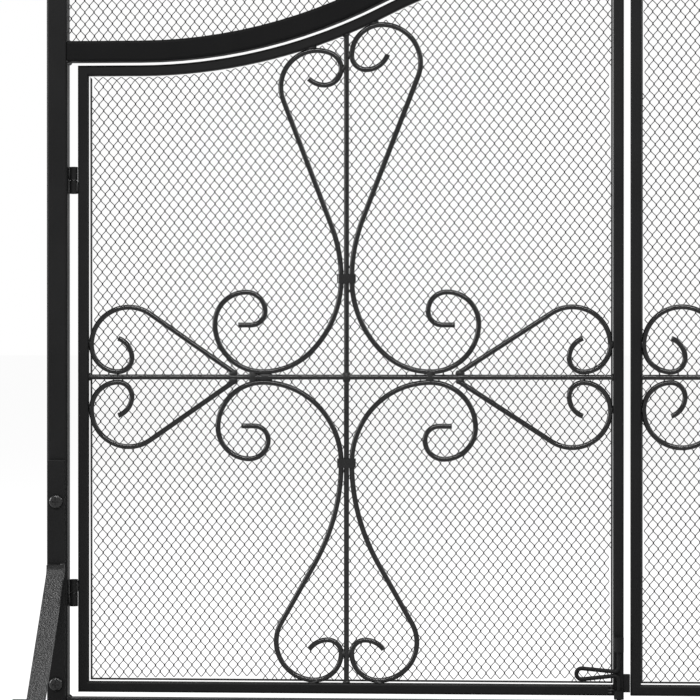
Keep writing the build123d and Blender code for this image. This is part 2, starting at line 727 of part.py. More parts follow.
with BuildPart() as drop_bolt:
    with BuildLine(bolt_plane) as bolt_path:
        tangent_run(
            Vector(BOLT_X, BOLT_Y, bolt_top),
            Vector(0, 0, -1),
            [
                (bolt_top - drop_top + handle_rise,),
                (HANDLE_BEND, -90 - HANDLE_UPPER_TILT),
                (HANDLE_UPPER_LEG,),
                (HANDLE_BULB, bulb_turn),
                (lower_leg,),
                (HANDLE_DROP_BEND, -90 - HANDLE_LOWER_TILT),
                (drop_top - bolt_tip,),
            ],
        )
    with BuildSketch(Plane(origin=bolt_path.line @ 0, z_dir=bolt_path.line % 0)):
        Circle(BOLT_DIA / 2)
    sweep()
write(drop_bolt.part, "drop_bolt")

# Stop block on the left door's meeting edge
with BuildPart() as stop_block:
    stop_width = MEETING_GAP - STOP_AIR
    with BuildSketch(Plane.XY.offset(DOOR_BOTTOM + STOP_RAISE)):
        with Locations((DOOR_RIGHT + stop_width / 2, DOOR_Y)):
            Rectangle(stop_width, STOP_DEPTH)
    extrude(amount=STOP_HEIGHT)
write(stop_block.part, "stop_block")
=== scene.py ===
"""Dresses the two-door fireplace screen: fine mesh, weld beads, black coat and stage."""

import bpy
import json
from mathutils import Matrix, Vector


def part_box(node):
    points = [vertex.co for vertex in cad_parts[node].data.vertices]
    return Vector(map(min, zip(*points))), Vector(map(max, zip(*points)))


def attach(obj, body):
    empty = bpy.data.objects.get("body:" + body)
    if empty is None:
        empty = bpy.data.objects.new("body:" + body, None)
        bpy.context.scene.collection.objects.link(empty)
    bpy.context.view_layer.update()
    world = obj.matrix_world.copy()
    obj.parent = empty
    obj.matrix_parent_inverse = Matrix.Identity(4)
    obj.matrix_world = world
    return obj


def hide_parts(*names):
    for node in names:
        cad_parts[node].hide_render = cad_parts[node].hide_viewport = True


bl_info = {
    "name": "Fireplace screen",
    "version": (1, 0, 0),
    "blender": (4, 5, 0),
    "location": "3D View > Sidebar > Fire screen",
    "description": "Fine mesh, weld beads and satin black coat for a two-door fireplace screen",
    "category": "Add Mesh",
}

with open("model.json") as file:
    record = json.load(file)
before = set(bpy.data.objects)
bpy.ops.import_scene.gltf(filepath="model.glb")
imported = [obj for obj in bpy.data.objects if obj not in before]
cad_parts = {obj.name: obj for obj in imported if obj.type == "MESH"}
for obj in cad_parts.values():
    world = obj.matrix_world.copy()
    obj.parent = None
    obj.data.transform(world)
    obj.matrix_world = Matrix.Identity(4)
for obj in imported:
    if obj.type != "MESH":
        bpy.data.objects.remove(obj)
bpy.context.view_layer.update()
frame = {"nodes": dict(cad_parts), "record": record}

import json
import math

import bmesh
import bpy
from mathutils import Matrix, Vector, noise

# Places on the solids, in metres
POST_INNER = -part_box("left_post")[1].x
FRAME_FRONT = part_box("left_post")[0].y
FRAME_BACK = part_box("left_post")[1].y
TOP_RAIL_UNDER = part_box("top_rail")[0].z
BOTTOM_RAIL_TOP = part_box("bottom_rail")[1].z
SHOULDER_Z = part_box("left_door_hinge_stile")[1].z
CREST_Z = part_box("left_door_meeting_stile")[1].z
OPEN_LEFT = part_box("left_door_hinge_stile")[1].x
OPEN_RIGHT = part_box("left_door_meeting_stile")[0].x
DOOR_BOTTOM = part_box("left_door_bottom_rail")[0].z
SILL_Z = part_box("left_door_bottom_rail")[1].z
DOOR_TUBE = SILL_Z - DOOR_BOTTOM
FRAME_TUBE = FRAME_BACK - FRAME_FRONT

# Air between the doors' top edge and the arch rail, and the level run beside each post
ARCH_GAP = 0.003
ARCH_FLAT = 0.07

UPRIGHT_LOW, UPRIGHT_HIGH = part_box("left_door_upright_bar")
UPRIGHT_X = (UPRIGHT_LOW.x + UPRIGHT_HIGH.x) / 2
CROSS_LOW, CROSS_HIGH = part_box("left_door_cross_bar")
CROSS_Z = (CROSS_LOW.z + CROSS_HIGH.z) / 2
ROD_Y = (CROSS_LOW.y + CROSS_HIGH.y) / 2

# The doors' top edge rises and turns level in two like arcs
ARCH_SPAN = POST_INNER - ARCH_FLAT
ARCH_TURN = 2 * math.atan((CREST_Z - SHOULDER_Z) / ARCH_SPAN)
ARCH_RADIUS = ARCH_SPAN / 2 / math.sin(ARCH_TURN)


def arch_height(x, above):
    """Height at x of the line that runs a distance above the doors' top edge."""
    x = abs(x)
    if x >= ARCH_SPAN:
        return SHOULDER_Z + above
    crest_radius = ARCH_RADIUS + above
    if x <= crest_radius * math.sin(ARCH_TURN):
        return CREST_Z - ARCH_RADIUS + math.sqrt(crest_radius**2 - x**2)
    rise_radius = ARCH_RADIUS - above
    return SHOULDER_Z + ARCH_RADIUS - math.sqrt(rise_radius**2 - (x - ARCH_SPAN) ** 2)


class ScreenSizes(bpy.types.PropertyGroup):
    """Sizes of the fine mesh and of the weld beads."""

    diamond_width: bpy.props.FloatProperty(
        name="Diamond width", description="Pitch of the mesh across", default=0.0089,
        unit="LENGTH", precision=5,
    )
    diamond_height: bpy.props.FloatProperty(
        name="Diamond height", description="Pitch of the mesh upwards", default=0.0116,
        unit="LENGTH", precision=5,
    )
    strand: bpy.props.FloatProperty(
        name="Strand", description="Width of a mesh strand", default=0.0008,
        unit="LENGTH", precision=5,
    )
    bond: bpy.props.FloatProperty(
        name="Bond", description="Half the length over which two strands run side by side",
        default=0.0006, unit="LENGTH", precision=5,
    )
    knot: bpy.props.FloatProperty(
        name="Knot", description="Half the width of a bond", default=0.0007,
        unit="LENGTH", precision=5,
    )
    lean: bpy.props.FloatProperty(
        name="Lean", description="How far the rows of the net rise to the right",
        default=math.radians(1.1), subtype="ANGLE",
    )
    selvage: bpy.props.FloatProperty(
        name="Selvage", description="Width of the wire along a net's edge", default=0.0017,
        unit="LENGTH", precision=5,
    )
    gauge: bpy.props.FloatProperty(
        name="Gauge", description="Thickness of the mesh sheet", default=0.0006,
        unit="LENGTH", precision=5,
    )
    weld_roughness: bpy.props.FloatProperty(
        name="Weld unevenness", description="How lumpy the weld beads are", default=0.16,
        subtype="FACTOR", min=0.0, max=1.0,
    )


class ScreenFinish(bpy.types.PropertyGroup):
    """Colours and gloss of the coat."""

    coat_dark: bpy.props.FloatVectorProperty(
        name="Coat, dark", description="Darkest tone of the powder coat", subtype="COLOR",
        default=(0.0035, 0.0035, 0.0036), min=0.0, max=1.0,
    )
    coat_light: bpy.props.FloatVectorProperty(
        name="Coat, light", description="Lightest tone of the powder coat", subtype="COLOR",
        default=(0.0065, 0.0065, 0.0066), min=0.0, max=1.0,
    )
    mesh_dark: bpy.props.FloatVectorProperty(
        name="Mesh, dark", description="Darkest tone of the mesh", subtype="COLOR",
        default=(0.010, 0.010, 0.010), min=0.0, max=1.0,
    )
    mesh_light: bpy.props.FloatVectorProperty(
        name="Mesh, light", description="Lightest tone of the mesh", subtype="COLOR",
        default=(0.03, 0.03, 0.03), min=0.0, max=1.0,
    )
    steel_dark: bpy.props.FloatVectorProperty(
        name="Steel, dark", description="Darkest tone of the plain steel", subtype="COLOR",
        default=(0.30, 0.30, 0.31), min=0.0, max=1.0,
    )
    steel_light: bpy.props.FloatVectorProperty(
        name="Steel, light", description="Lightest tone of the plain steel", subtype="COLOR",
        default=(0.48, 0.48, 0.49), min=0.0, max=1.0,
    )


# Materials


def coat_grain_group():
    """Fine orange-peel grain of a sprayed coat, with cloudy tone and gloss."""
    group = bpy.data.node_groups.get("Coat grain")
    if group:
        return group
    group = bpy.data.node_groups.new("Coat grain", "ShaderNodeTree")
    sockets = group.interface
    sockets.new_socket("Position", in_out="INPUT", socket_type="NodeSocketVector")
    for name, value in (("Grain Scale", 900.0), ("Cloud Scale", 14.0), ("Gloss Low", 0.3),
                        ("Gloss High", 0.42)):
        socket = sockets.new_socket(name, in_out="INPUT", socket_type="NodeSocketFloat")
        socket.default_value = value
    for name in ("Height", "Tone", "Roughness"):
        sockets.new_socket(name, in_out="OUTPUT", socket_type="NodeSocketFloat")
    nodes, links = group.nodes, group.links
    entry = nodes.new("NodeGroupInput")
    exit_node = nodes.new("NodeGroupOutput")
    grain = nodes.new("ShaderNodeTexNoise")
    grain.inputs["Detail"].default_value = 2.0
    cloud = nodes.new("ShaderNodeTexNoise")
    cloud.inputs["Detail"].default_value = 4.0
    gloss = nodes.new("ShaderNodeMapRange")
    links.new(entry.outputs["Position"], grain.inputs["Vector"])
    links.new(entry.outputs["Grain Scale"], grain.inputs["Scale"])
    links.new(entry.outputs["Position"], cloud.inputs["Vector"])
    links.new(entry.outputs["Cloud Scale"], cloud.inputs["Scale"])
    gloss.inputs["From Min"].default_value = 0.3
    gloss.inputs["From Max"].default_value = 0.7
    links.new(cloud.outputs["Fac"], gloss.inputs["Value"])
    links.new(entry.outputs["Gloss Low"], gloss.inputs["To Min"])
    links.new(entry.outputs["Gloss High"], gloss.inputs["To Max"])
    links.new(grain.outputs["Fac"], exit_node.inputs["Height"])
    links.new(cloud.outputs["Fac"], exit_node.inputs["Tone"])
    links.new(gloss.outputs["Result"], exit_node.inputs["Roughness"])
    return group


def coat_material(name, dark, light, grain_scale, grain_depth, gloss, metallic=0.0, specular=0.2):
    """A sprayed or plain metal finish with grain, tone and gloss from its nodes."""
    material = bpy.data.materials.new(name)
    material.use_nodes = True
    nodes, links = material.node_tree.nodes, material.node_tree.links
    shader = nodes["Principled BSDF"]
    shader.inputs["Metallic"].default_value = metallic
    shader.inputs["Specular IOR Level"].default_value = specular
    place = nodes.new("ShaderNodeTexCoord")
    grain = nodes.new("ShaderNodeGroup")
    grain.node_tree = coat_grain_group()
    grain.inputs["Grain Scale"].default_value = grain_scale
    grain.inputs["Gloss Low"].default_value = gloss[0]
    grain.inputs["Gloss High"].default_value = gloss[1]
    links.new(place.outputs["Object"], grain.inputs["Position"])
    tone = nodes.new("ShaderNodeMix")
    tone.data_type = "RGBA"
    tone.inputs["A"].default_value = (*dark, 1.0)
    tone.inputs["B"].default_value = (*light, 1.0)
    links.new(grain.outputs["Tone"], tone.inputs["Factor"])
    links.new(tone.outputs["Result"], shader.inputs["Base Color"])
    links.new(grain.outputs["Roughness"], shader.inputs["Roughness"])
    bump = nodes.new("ShaderNodeBump")
    bump.inputs["Distance"].default_value = grain_depth
    bump.inputs["Strength"].default_value = 0.6
    links.new(grain.outputs["Height"], bump.inputs["Height"])
    links.new(bump.outputs["Normal"], shader.inputs["Normal"])
    return material


def finish_of(node):
    """The record's material slot of a CAD node."""
    for part in frame["record"]["subparts"]:
        if part["node"] == node:
            return part["material_slot"]
    raise RuntimeError(f"no finish is recorded for {node}")


def finish(piece, material, body):
    """Give a new piece its finish, and let it ride on its body."""
    piece.data.materials.append(material)
    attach(piece, body)


def link_mesh(bm, name):
    """Turn a bmesh into an object at the origin."""
    mesh = bpy.data.meshes.new(name)
    bm.to_mesh(mesh)
    bm.free()
    piece = bpy.data.objects.new(name, mesh)
    bpy.context.scene.collection.objects.link(piece)
    return piece


class FIRESCREEN_OT_coat(bpy.types.Operator):
    """Coat every CAD node in its own finish."""

    bl_idname = "firescreen.coat"
    bl_label = "Coat the frame"

    def execute(self, context):
        look = context.scene.firescreen_finish
        black = (look.coat_dark, look.coat_light)
        coats = {
            "frame": coat_material(
                "Satin black tube coat", *black, grain_scale=900.0, grain_depth=0.00006,
                gloss=(0.42, 0.54), specular=0.07,
            ),
            # Painted shade: the arch rail has the tubes' black paint, given less reflection here
            # so that it renders darker
            "arch": coat_material(
                "Arch coat with painted shade", *black, grain_scale=900.0, grain_depth=0.00006,
                gloss=(0.46, 0.58), specular=0.02,
            ),
            # Real coarser grain, and painted light: more reflection than the tube coat so that
            # the braces render lighter, as light from above makes them look
            "foot": coat_material(
                "Grained foot coat with painted light", *black, grain_scale=620.0, grain_depth=0.0010,
                gloss=(0.30, 0.40), specular=0.21,
            ),
            "ornament": coat_material(
                "Satin black rod coat", *black, grain_scale=700.0, grain_depth=0.00002,
                gloss=(0.12, 0.18), specular=0.24,
            ),
            "mesh": coat_material(
                "Black mesh coat", look.mesh_dark, look.mesh_light, grain_scale=1500.0,
                grain_depth=0.00002, gloss=(0.4, 0.55),
            ),
            "screws": coat_material(
                "Black oxide screw", *black, grain_scale=1200.0, grain_depth=0.00003,
                gloss=(0.16, 0.22), specular=0.3,
            ),
            "plated_steel": coat_material(
                "Plain steel", look.steel_dark, look.steel_light, grain_scale=1600.0,
                grain_depth=0.00002, gloss=(0.25, 0.4), metallic=1.0,
            ),
        }
        for name, node in frame["nodes"].items():
            node.data.materials.clear()
            kind = finish_of(name)
            # The arch rail takes the darker copy of the tube coat (painted shade); braces and
            # base bars take the foot coat, partly painted light
            if name == "arch_rail":
                kind = "arch"
            elif "_foot_brace" in name or "_foot_base" in name:
                kind = "foot"
            node.data.materials.append(coats[kind])
        return {"FINISHED"}


# Fine mesh

# How much nearer to the meeting stile and the arched rail a door's net runs than its solid
MESH_REACH = 0.0008
# How far the upper net runs into the tubes around it, as a share of the tube
UPPER_TUCK = 0.2
# Share of a diamond's side that every strand of a whole crossing has at least
WHOLE_STRAND = 0.8
# Share of a diamond's area below which a cut cell is left out
SLIVER = 0.2
# Thickness of a bond, in gauges of the sheet
BOND_GAUGES = 1.6
# Lengths below which corners of the net count as one, before and after it is mirrored
NET_MERGE = 1e-5
RIDGE_MERGE = 2e-6
# Straight runs in which a net's edge follows the arch
SELVAGE_RUNS = 64


def straight_cut(bm, point, normal):
    """Cut the net along a plane and drop what lies beyond it."""
    geometry = bm.verts[:] + bm.edges[:] + bm.faces[:]
    bmesh.ops.bisect_plane(
        bm, geom=geometry, dist=1e-7, plane_co=point, plane_no=normal, clear_outer=True
    )


def diamond_grid(sizes, low, high, y):
    """A flat grid of diamonds that covers a rectangle at depth y."""
    width, height = high[0] - low[0], high[1] - low[1]
    count = math.ceil(width / sizes.diamond_width + height / sizes.diamond_height) + 4
    bm = bmesh.new()
    bmesh.ops.create_grid(bm, x_segments=count, y_segments=count, size=1.0)
    span = max(v.co.x for v in bm.verts) - min(v.co.x for v in bm.verts)
    stretch = (sizes.diamond_width / math.sqrt(2), sizes.diamond_height / math.sqrt(2), 1.0)
    middle = ((low[0] + high[0]) / 2, y, (low[1] + high[1]) / 2)
    turn = (
        Matrix.Translation(middle)
        @ Matrix.Rotation(-sizes.lean, 4, "Y")
        @ Matrix.Rotation(math.radians(90), 4, "X")
        @ Matrix.Diagonal((*stretch, 1.0))
        @ Matrix.Rotation(math.radians(45), 4, "Z")
        @ Matrix.Scale(count / span, 4)
    )
    bmesh.ops.transform(bm, matrix=turn, verts=bm.verts)
    for point, normal in (
        ((low[0], y, 0), (-1, 0, 0)),
        ((high[0], y, 0), (1, 0, 0)),
        ((0, y, low[1]), (0, 0, -1)),
        ((0, y, high[1]), (0, 0, 1)),
    ):
        straight_cut(bm, point, normal)
    return bm


def trim_to_arch(bm, above, keep_below):
    """Drop the diamonds beyond the arch line and draw the rest back to it."""
    side = 1 if keep_below else -1
    beyond = {v for v in bm.verts if side * (v.co.z - arch_height(v.co.x, above)) > 0}
    gone = [f for f in bm.faces if all(v in beyond for v in f.verts)]
    bmesh.ops.delete(bm, geom=gone, context="FACES")
    for v in bm.verts:
        limit = arch_height(v.co.x, above)
        if side * (v.co.z - limit) > 0:
            v.co.z = limit
    bmesh.ops.dissolve_degenerate(bm, dist=NET_MERGE, edges=bm.edges[:])


def draw_out_crossings(bm, sizes, half_width):
    """Make every crossing of the net a short upright bond, and return the bonds."""
    side = math.hypot(sizes.diamond_width, sizes.diamond_height) / 2
    crossings = [
        v for v in bm.verts
        if len(v.link_faces) == 4
        and all(e.calc_length() > side * WHOLE_STRAND for e in v.link_edges)
    ]
    bonds = bmesh.ops.bevel(
        bm, geom=crossings, offset=sizes.bond, affect="VERTICES", segments=1, profile=0.5,
        material=-1,
    )["faces"]
    for bond in bonds:
        middle = bond.calc_center_median()
        for v in bond.verts:
            v.co.x = middle.x + math.copysign(half_width, v.co.x - middle.x)
            v.co.z = middle.z + math.copysign(sizes.bond, v.co.z - middle.z)
    return bonds


def mesh_bonds(net, sizes):
    """The thicker metal where two strands run side by side."""
    bm = net.copy()
    bonds = set(draw_out_crossings(bm, sizes, sizes.knot))
    bmesh.ops.delete(bm, geom=[f for f in bm.faces if f not in bonds], context="FACES")
    bmesh.ops.solidify(bm, geom=bm.faces[:], thickness=sizes.gauge * BOND_GAUGES)
    bmesh.ops.recalc_face_normals(bm, faces=bm.faces)
    return bm


def open_cells(bm, sizes, y):
    """Leave only the strands of the net, each with a ridge in front and behind."""
    whole = sizes.diamond_width * sizes.diamond_height / 2
    slivers = [f for f in bm.faces if f.calc_area() < whole * SLIVER]
    bmesh.ops.delete(bm, geom=slivers, context="FACES")
    draw_out_crossings(bm, sizes, 0.0)
    bmesh.ops.remove_doubles(bm, verts=bm.verts, dist=NET_MERGE)
    bm.normal_update()
    cells = bm.faces[:]
    ridge = {v for v in bm.verts if not v.is_boundary}
    bmesh.ops.inset_individual(
        bm, faces=cells, thickness=sizes.strand / 2, use_even_offset=True
    )
    flat = [f for f in bm.faces if ridge.isdisjoint(f.verts)]
    bmesh.ops.translate(bm, vec=(0, -sizes.gauge / 2, 0), verts=list(ridge))
    bmesh.ops.delete(bm, geom=list({*cells, *flat}), context="FACES")
    bmesh.ops.mirror(
        bm, geom=bm.verts[:] + bm.edges[:] + bm.faces[:], axis="Y", merge_dist=1e-6,
        matrix=Matrix.Translation((0, -y, 0)),
    )
    bmesh.ops.remove_doubles(bm, verts=bm.verts, dist=RIDGE_MERGE)
    bmesh.ops.recalc_face_normals(bm, faces=bm.faces)


def selvage(sizes, low, high, y, above):
    """The wire along both sides and the foot of a door's net; the arched edge has none."""
    bm = bmesh.new()
    bmesh.ops.create_grid(bm, x_segments=SELVAGE_RUNS, y_segments=1, size=1.0)
    left, right = (pick(v.co.x for v in bm.verts) for pick in (min, max))
    for v in bm.verts:
        share = (v.co.x - left) / (right - left)
        x = low[0] + share * (high[0] - low[0])
        v.co = (x, y, arch_height(x, above) if v.co.y > 0 else low[1])
    bm.normal_update()
    inside = bm.faces[:]
    bmesh.ops.inset_region(bm, faces=inside, thickness=sizes.selvage, use_even_offset=True,
                           use_boundary=True)
    bmesh.ops.delete(bm, geom=inside, context="FACES")
    arched = []
    for f in bm.faces:
        middle = f.calc_center_median()
        if middle.z > arch_height(middle.x, above) - sizes.selvage:
            arched.append(f)
    bmesh.ops.delete(bm, geom=arched, context="FACES")
    bmesh.ops.solidify(bm, geom=bm.faces[:], thickness=sizes.selvage)
    bmesh.ops.recalc_face_normals(bm, faces=bm.faces)
    return bm


class FIRESCREEN_OT_mesh(bpy.types.Operator):
    """Stretch the fine expanded mesh in both doors and under the top rail."""

    bl_idname = "firescreen.mesh"
    bl_label = "Stretch the mesh"

    def execute(self, context):
        sizes = context.scene.firescreen_sizes
        coat = bpy.data.materials["Black mesh coat"]
        for side in ("left", "right"):
            node = f"{side}_door_mesh"
            low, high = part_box(node)
            if side == "left":
                high.x += MESH_REACH
            else:
                low.x -= MESH_REACH
            above = high.z - CREST_Z + MESH_REACH
            hem = sizes.selvage / 2
            middle_y = (low.y + high.y) / 2
            bm = diamond_grid(
                sizes, (low.x + hem, low.z + hem), (high.x - hem, high.z), middle_y
            )
            trim_to_arch(bm, above, keep_below=True)
            bonds = link_mesh(mesh_bonds(bm, sizes), f"{side}_door_mesh_bonds")
            finish(bonds, coat, f"{side}_door")
            open_cells(bm, sizes, middle_y)
            net = link_mesh(bm, f"{side}_door_fine_mesh")
            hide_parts(node)
            finish(net, coat, f"{side}_door")
            bm = selvage(sizes, (low.x, low.z), (high.x, high.z), middle_y - hem, above)
            edge = link_mesh(bm, f"{side}_door_mesh_selvage")
            finish(edge, coat, f"{side}_door")
        low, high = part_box("upper_mesh")
        tuck = FRAME_TUBE * UPPER_TUCK
        bm = diamond_grid(
            sizes, (low.x - tuck, low.z - tuck), (high.x + tuck, TOP_RAIL_UNDER + tuck), high.y
        )
        trim_to_arch(bm, ARCH_GAP + FRAME_TUBE - tuck, keep_below=False)
        bonds = link_mesh(mesh_bonds(bm, sizes), "upper_mesh_bonds")
        finish(bonds, coat, "frame")
        open_cells(bm, sizes, high.y)
        net = link_mesh(bm, "upper_fine_mesh")
        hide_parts("upper_mesh")
        finish(net, coat, "frame")
        return {"FINISHED"}


# Weld beads


# A bead is given by its place, its half sizes across, in depth and upwards, and its tilt in
# degrees. The names below say where it sits; places count from the upright bar or a stile.

# Cross bar: where the hooks land on each side, the leaves' feet and the long hinge-side run
HOOK_LANDINGS = ((-1, 0.0905), (1, 0.0805))
HOOK_BEAD = (0.0042, 0.003, 0.0072)
LEAF_FOOT_AWAY = 0.1095
LEAF_FOOT_RISE = 0.0036
LEAF_FOOT_BEAD = (0.0042, 0.0029, 0.0036)
LONG_RUN_AWAY = 0.079
LONG_RUN_BEAD = (0.009, 0.0026, 0.0044)
CROSSING_BEAD = (0.0041, 0.0033, 0.0064)

# Stiles: the cross bar's ends and the leaves' backs
BAR_END_INSET = 0.0008
BAR_END_BEAD = (0.0018, 0.0036, 0.0038)
LEAF_BACK_INSET = 0.0014
LEAF_BACK_RISE = 0.0311
LEAF_BACK_BEAD = (0.0016, 0.0024, 0.0046)

# Upright bar: its foot and its head
UPRIGHT_FOOT_RISE = 0.0008
UPRIGHT_FOOT_BEAD = (0.0037, 0.0037, 0.0018)
UPRIGHT_HEAD_RISE = 0.0006
UPRIGHT_HEAD_BEAD = (0.0037, 0.0037, 0.002)
UPRIGHT_HEAD_TILT = -20

# Lower lobes: on the bottom rail, and where their curls touch the upright bar
LOWER_LOBE_AWAY = 0.0318
LOWER_LOBE_FORWARD = 0.0008
LOWER_LOBE_RISE = 0.0006
LOWER_LOBE_BEAD = (0.0056, 0.0034, 0.0022)
LOWER_LOBE_TILT = 14
CURL_AWAY = 0.0026
LOWER_CURL_RISE = 0.0285
LOWER_CURL_BEAD = (0.0022, 0.0028, 0.0042)
LOWER_CURL_TILT = 8

# Upper lobes: their middles from the upright bar, how far below the top rail their curls
# touch the bar, and the beads against the rail, each with its step aside and its half width
HINGE_LOBE_AWAY = 0.0285
HINGE_CURL_DROP = 0.0376
HINGE_CURL_RISE = 0.0176
MEETING_LOBE_AWAY = 0.0345
MEETING_CURL_DROP = 0.032
UPPER_CURL_BEAD = (0.002, 0.0027, 0.004)
UPPER_CURL_TILT = 10
HINGE_LOBE_TOP = (-0.006, 0.0062)
MEETING_LOBE_TOP = (-0.008, 0.0052)
UPPER_LOBE_FORWARD = 0.0006
UPPER_LOBE_DROP = 0.0006
UPPER_LOBE_BEAD = (0.003, 0.0019)
UPPER_LOBE_TILT = -18

# Hinges: how far a bead leans on to the post or the stile, and in from the knuckle's sides
KNUCKLE_LEAN = 0.00064
KNUCKLE_INSET = 0.0024
KNUCKLE_BEAD = (0.0017, 0.0018, 0.0052)

# Bolt guides: beads along the back corners, and three lumps run on to the bottom rail
GUIDE_INSET = 0.0021
GUIDE_FORWARD = 0.0009
GUIDE_BEAD = (0.0017, 0.0014)
GUIDE_BEAD_SHARE = 0.42
GUIDE_LUMPS = ((0.0012, 0.0032), (0.0044, 0.0036), (0.0074, 0.003))
GUIDE_LUMP_AWAY = 0.0022
GUIDE_LUMP_BEAD = (0.0019, 0.0021)
GUIDE_LUMP_TILT = 12

# Feet: the brace's upper corner, its foot on the base and the plate's foot on the base
BRACE_CORNER_INSET = 0.0022
BRACE_CORNER_FORWARD = 0.0012
BRACE_CORNER_BEAD = (0.0022, 0.0026, 0.0018)
BRACE_FOOT_BACK = 0.0005
BRACE_FOOT_BEAD = (0.0078, 0.0021, 0.0017)
PLATE_FOOT_FORWARD = 0.0002
PLATE_FOOT_BEAD = (0.0078, 0.0019, 0.0018)

# Rails against the post
RAIL_END_AWAY = 0.0003
RAIL_END_INSET = 0.0045
RAIL_END_BEAD = (0.002, 0.0044, 0.002)

# Size of the lumps that make a bead uneven, as waves per metre and as their full height
LUMP_WAVES = 420.0
LUMP_HEIGHT = 0.004


def bead(bm, place, size, tilt=0.0):
    """One lump of weld; tilt turns it in the plane of the screen."""
    shape = (
        Matrix.Translation(place)
        @ Matrix.Rotation(math.radians(tilt), 4, "Y")
        @ Matrix.Diagonal((*size, 1.0))
    )
    bmesh.ops.create_icosphere(bm, subdivisions=3, radius=1.0, matrix=shape)


def lumpy(bm, amount):
    """Make the beads uneven, as run metal is."""
    bm.normal_update()
    for v in bm.verts:
        v.co += v.normal * noise.noise(v.co * LUMP_WAVES) * amount * LUMP_HEIGHT


def cross_bar_spots():
    """Beads along the left door's cross bar and on its stiles."""
    spots = []
    for far, landing in HOOK_LANDINGS:
        spots.append(((UPRIGHT_X + far * landing, ROD_Y, CROSS_Z), HOOK_BEAD, 0))
        for up in (-1, 1):
            foot = (UPRIGHT_X + far * LEAF_FOOT_AWAY, ROD_Y, CROSS_Z + up * LEAF_FOOT_RISE)
            spots.append((foot, LEAF_FOOT_BEAD, 0))
    for stile_x, inward in ((OPEN_LEFT, 1), (OPEN_RIGHT, -1)):
        spots.append(((stile_x + inward * BAR_END_INSET, ROD_Y, CROSS_Z), BAR_END_BEAD, 0))
        for up in (-1, 1):
            back = (stile_x + inward * LEAF_BACK_INSET, ROD_Y, CROSS_Z + up * LEAF_BACK_RISE)
            spots.append((back, LEAF_BACK_BEAD, 0))
    spots.append(((UPRIGHT_X - LONG_RUN_AWAY, ROD_Y, CROSS_Z), LONG_RUN_BEAD, 0))
    spots.append(((UPRIGHT_X, ROD_Y, CROSS_Z), CROSSING_BEAD, 0))
    return spots


def lower_lobe_spots():
    """Beads at the upright bar's foot and on the left door's lower lobes."""
    spots = [((UPRIGHT_X, ROD_Y, SILL_Z + UPRIGHT_FOOT_RISE), UPRIGHT_FOOT_BEAD, 0)]
    for far in (-1, 1):
        foot_x = UPRIGHT_X + far * LOWER_LOBE_AWAY
        foot = (foot_x, ROD_Y - LOWER_LOBE_FORWARD, SILL_Z + LOWER_LOBE_RISE)
        spots.append((foot, LOWER_LOBE_BEAD, far * LOWER_LOBE_TILT))
        curl = (UPRIGHT_X + far * CURL_AWAY, ROD_Y, SILL_Z + LOWER_CURL_RISE)
        spots.append((curl, LOWER_CURL_BEAD, far * LOWER_CURL_TILT))
    return spots


def upper_lobe_spots():
    """Beads at the upright bar's head and on the left door's upper lobes."""
    head = (UPRIGHT_X, ROD_Y, UPRIGHT_HIGH.z + UPRIGHT_HEAD_RISE)
    spots = [(head, UPRIGHT_HEAD_BEAD, UPRIGHT_HEAD_TILT)]
    hinge_x = UPRIGHT_X - HINGE_LOBE_AWAY
    meeting_x = UPRIGHT_X + MEETING_LOBE_AWAY
    hinge_touch = arch_height(hinge_x, -DOOR_TUBE - HINGE_CURL_DROP) + HINGE_CURL_RISE
    meeting_touch = arch_height(meeting_x, -DOOR_TUBE - MEETING_CURL_DROP)
    for far, touch in ((-1, hinge_touch), (1, meeting_touch)):
        curl = (UPRIGHT_X + far * CURL_AWAY, ROD_Y, touch)
        spots.append((curl, UPPER_CURL_BEAD, -far * UPPER_CURL_TILT))
    for lobe_x, (aside, width) in ((hinge_x, HINGE_LOBE_TOP), (meeting_x, MEETING_LOBE_TOP)):
        x = lobe_x + aside
        top = (x, ROD_Y - UPPER_LOBE_FORWARD, arch_height(x, -DOOR_TUBE - UPPER_LOBE_DROP))
        spots.append((top, (width, *UPPER_LOBE_BEAD), UPPER_LOBE_TILT))
    return spots


def hinge_bead_spots(carrier):
    """Beads between the left-hand knuckles and their post or their door."""
    if carrier == "post":
        edge = -POST_INNER + KNUCKLE_LEAN
    else:
        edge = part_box("left_door_hinge_stile")[0].x - KNUCKLE_LEAN
    spots = []
    for level in ("upper", "lower"):
        low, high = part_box(f"left_{level}_{carrier}_knuckle")
        for y in (low.y + KNUCKLE_INSET, high.y - KNUCKLE_INSET):
            spots.append(((edge, y, (low.z + high.z) / 2), KNUCKLE_BEAD, 0))
    return spots


def latch_bead_spots():
    """Beads between the bolt guides and the stile."""
    spots = []
    for guide in ("upper_bolt_guide", "lower_bolt_guide"):
        low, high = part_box(guide)
        size = (*GUIDE_BEAD, (high.z - low.z) * GUIDE_BEAD_SHARE)
        for x in (low.x + GUIDE_INSET, high.x - GUIDE_INSET):
            spots.append(((x, high.y - GUIDE_FORWARD, (low.z + high.z) / 2), size, 0))
    rail_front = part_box("left_door_bottom_rail")[0].y
    guide_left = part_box("lower_bolt_guide")[0].x
    for drop, width in GUIDE_LUMPS:
        lump = (guide_left - GUIDE_LUMP_AWAY, rail_front, SILL_Z - drop)
        spots.append((lump, (width, *GUIDE_LUMP_BEAD), GUIDE_LUMP_TILT))
    return spots


